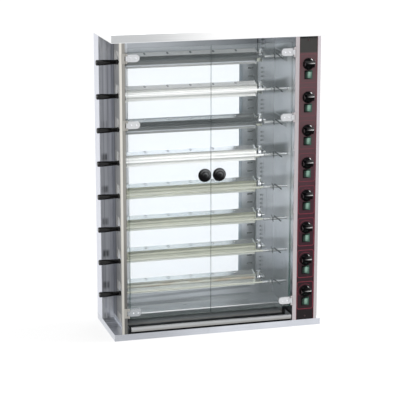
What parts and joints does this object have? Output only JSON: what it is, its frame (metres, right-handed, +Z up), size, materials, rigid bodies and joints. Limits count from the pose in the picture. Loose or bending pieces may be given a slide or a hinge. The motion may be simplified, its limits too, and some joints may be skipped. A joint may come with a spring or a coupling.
{
  "type": "vertical rotisserie broiler",
  "caption": "Floor-standing stainless gas rotisserie cabinet: stacked motor-driven spits before burner bands, glass double doors, drip tray and a side control column.",
  "frame": {"origin": "on the floor under the middle of the base", "axes": "+X to the control column at the operator's right, +Y to the back, +Z up"},
  "size_m": [1.131, 0.4515, 1.5],
  "materials": {
    "sheet_steel": "brushed",
    "bright_steel": "polished",
    "band_steel": "polished, straw-tinted by heat",
    "burner_steel": "heat-browned",
    "tube_steel": "satin",
    "spit_steel": "satin",
    "tray_steel": "satin, darkened",
    "valve_brass": "raw",
    "motor_paint": "satin",
    "maroon_panel": "satin",
    "black_plastic": "gloss",
    "green_lens": "translucent gloss",
    "clear_glass": "clear"
  },
  "bodies": {
    "cabinet": {"base_plinth": "sheet_steel", "cap": "sheet_steel", "roof_panel": "sheet_steel", "left_wall": "sheet_steel", "left_column": "sheet_steel", "right_wall": "sheet_steel", "rear_frame": "sheet_steel", "back_panel": "sheet_steel", "rear_glass": "clear_glass", "floor_deflector": "sheet_steel", "hinge_brackets": "bright_steel", "control_panel": "maroon_panel", "control_casing": "sheet_steel", "reflectors": "band_steel", "burner_tubes": "burner_steel", "feed_tubes": "tube_steel", "gas_valves": "valve_brass", "gas_manifold": "valve_brass", "gearmotors": "motor_paint", "switch_bezels": "black_plastic", "screws": "bright_steel"},
    "left_door": {"left_glass": "clear_glass", "left_clamps": "bright_steel", "left_pull": "black_plastic"},
    "right_door": {"right_glass": "clear_glass", "right_clamps": "bright_steel", "right_pull": "black_plastic"},
    "tray": {"drip_tray": "tray_steel"},
    "spit_1": {"spit_1": "spit_steel", "grip_1": "black_plastic"},
    "spit_2": {"spit_2": "spit_steel", "grip_2": "black_plastic"},
    "spit_3": {"spit_3": "spit_steel", "grip_3": "black_plastic"},
    "spit_4": {"spit_4": "spit_steel", "grip_4": "black_plastic"},
    "spit_5": {"spit_5": "spit_steel", "grip_5": "black_plastic"},
    "spit_6": {"spit_6": "spit_steel", "grip_6": "black_plastic"},
    "spit_7": {"spit_7": "spit_steel", "grip_7": "black_plastic"},
    "spit_8": {"spit_8": "spit_steel", "grip_8": "black_plastic"},
    "knob_1": {"knob_1": "black_plastic"},
    "knob_2": {"knob_2": "black_plastic"},
    "knob_3": {"knob_3": "black_plastic"},
    "knob_4": {"knob_4": "black_plastic"},
    "knob_5": {"knob_5": "black_plastic"},
    "knob_6": {"knob_6": "black_plastic"},
    "knob_7": {"knob_7": "black_plastic"},
    "knob_8": {"knob_8": "black_plastic"},
    "rocker_1": {"rocker_1": "green_lens"},
    "rocker_2": {"rocker_2": "green_lens"},
    "rocker_3": {"rocker_3": "green_lens"},
    "rocker_4": {"rocker_4": "green_lens"},
    "rocker_5": {"rocker_5": "green_lens"},
    "rocker_6": {"rocker_6": "green_lens"},
    "rocker_7": {"rocker_7": "green_lens"},
    "rocker_8": {"rocker_8": "green_lens"}
  },
  "joints": [
    {"name": "left_door_hinge", "type": "hinge", "parent": "cabinet", "child": "left_door", "pos_m": [-0.459, -0.203, 0.8], "axis": [0, 0, -1], "range_deg": [0, 120]},
    {"name": "right_door_hinge", "type": "hinge", "parent": "cabinet", "child": "right_door", "pos_m": [0.375, -0.203, 0.8], "axis": [0, 0, 1], "range_deg": [0, 120]},
    {"name": "tray_slide", "type": "slide", "parent": "cabinet", "child": "tray", "axis": [0, -1, 0], "range_m": [0, 0.26]},
    {"name": "spit_1_turn", "type": "hinge", "parent": "cabinet", "child": "spit_1", "pos_m": [0, -0.088, 1.358], "axis": [1, 0, 0], "continuous": true},
    {"name": "spit_2_turn", "type": "hinge", "parent": "cabinet", "child": "spit_2", "pos_m": [0, -0.088, 1.194], "axis": [1, 0, 0], "continuous": true},
    {"name": "spit_3_turn", "type": "hinge", "parent": "cabinet", "child": "spit_3", "pos_m": [0, -0.088, 1.03], "axis": [1, 0, 0], "continuous": true},
    {"name": "spit_4_turn", "type": "hinge", "parent": "cabinet", "child": "spit_4", "pos_m": [0, -0.088, 0.866], "axis": [1, 0, 0], "continuous": true},
    {"name": "spit_5_turn", "type": "hinge", "parent": "cabinet", "child": "spit_5", "pos_m": [0, -0.088, 0.702], "axis": [1, 0, 0], "continuous": true},
    {"name": "spit_6_turn", "type": "hinge", "parent": "cabinet", "child": "spit_6", "pos_m": [0, -0.088, 0.538], "axis": [1, 0, 0], "continuous": true},
    {"name": "spit_7_turn", "type": "hinge", "parent": "cabinet", "child": "spit_7", "pos_m": [0, -0.088, 0.374], "axis": [1, 0, 0], "continuous": true},
    {"name": "spit_8_turn", "type": "hinge", "parent": "cabinet", "child": "spit_8", "pos_m": [0, -0.088, 0.21], "axis": [1, 0, 0], "continuous": true},
    {"name": "knob_1_turn", "type": "hinge", "parent": "cabinet", "child": "knob_1", "pos_m": [0.4485, -0.2, 1.328], "axis": [0, -1, 0], "range_deg": [0, 180]},
    {"name": "knob_2_turn", "type": "hinge", "parent": "cabinet", "child": "knob_2", "pos_m": [0.4485, -0.2, 1.164], "axis": [0, -1, 0], "range_deg": [0, 180]},
    {"name": "knob_3_turn", "type": "hinge", "parent": "cabinet", "child": "knob_3", "pos_m": [0.4485, -0.2, 1], "axis": [0, -1, 0], "range_deg": [0, 180]},
    {"name": "knob_4_turn", "type": "hinge", "parent": "cabinet", "child": "knob_4", "pos_m": [0.4485, -0.2, 0.836], "axis": [0, -1, 0], "range_deg": [0, 180]},
    {"name": "knob_5_turn", "type": "hinge", "parent": "cabinet", "child": "knob_5", "pos_m": [0.4485, -0.2, 0.672], "axis": [0, -1, 0], "range_deg": [0, 180]},
    {"name": "knob_6_turn", "type": "hinge", "parent": "cabinet", "child": "knob_6", "pos_m": [0.4485, -0.2, 0.508], "axis": [0, -1, 0], "range_deg": [0, 180]},
    {"name": "knob_7_turn", "type": "hinge", "parent": "cabinet", "child": "knob_7", "pos_m": [0.4485, -0.2, 0.344], "axis": [0, -1, 0], "range_deg": [0, 180]},
    {"name": "knob_8_turn", "type": "hinge", "parent": "cabinet", "child": "knob_8", "pos_m": [0.4485, -0.2, 0.18], "axis": [0, -1, 0], "range_deg": [0, 180]},
    {"name": "rocker_1_tilt", "type": "hinge", "parent": "cabinet", "child": "rocker_1", "pos_m": [0.4485, -0.194, 1.275], "axis": [1, 0, 0], "range_deg": [-14, 0]},
    {"name": "rocker_2_tilt", "type": "hinge", "parent": "cabinet", "child": "rocker_2", "pos_m": [0.4485, -0.194, 1.111], "axis": [1, 0, 0], "range_deg": [-14, 0]},
    {"name": "rocker_3_tilt", "type": "hinge", "parent": "cabinet", "child": "rocker_3", "pos_m": [0.4485, -0.194, 0.947], "axis": [1, 0, 0], "range_deg": [-14, 0]},
    {"name": "rocker_4_tilt", "type": "hinge", "parent": "cabinet", "child": "rocker_4", "pos_m": [0.4485, -0.194, 0.783], "axis": [1, 0, 0], "range_deg": [-14, 0]},
    {"name": "rocker_5_tilt", "type": "hinge", "parent": "cabinet", "child": "rocker_5", "pos_m": [0.4485, -0.194, 0.619], "axis": [1, 0, 0], "range_deg": [-14, 0]},
    {"name": "rocker_6_tilt", "type": "hinge", "parent": "cabinet", "child": "rocker_6", "pos_m": [0.4485, -0.194, 0.455], "axis": [1, 0, 0], "range_deg": [-14, 0]},
    {"name": "rocker_7_tilt", "type": "hinge", "parent": "cabinet", "child": "rocker_7", "pos_m": [0.4485, -0.194, 0.291], "axis": [1, 0, 0], "range_deg": [-14, 0]},
    {"name": "rocker_8_tilt", "type": "hinge", "parent": "cabinet", "child": "rocker_8", "pos_m": [0.4485, -0.194, 0.127], "axis": [1, 0, 0], "range_deg": [-14, 0]}
  ]
}
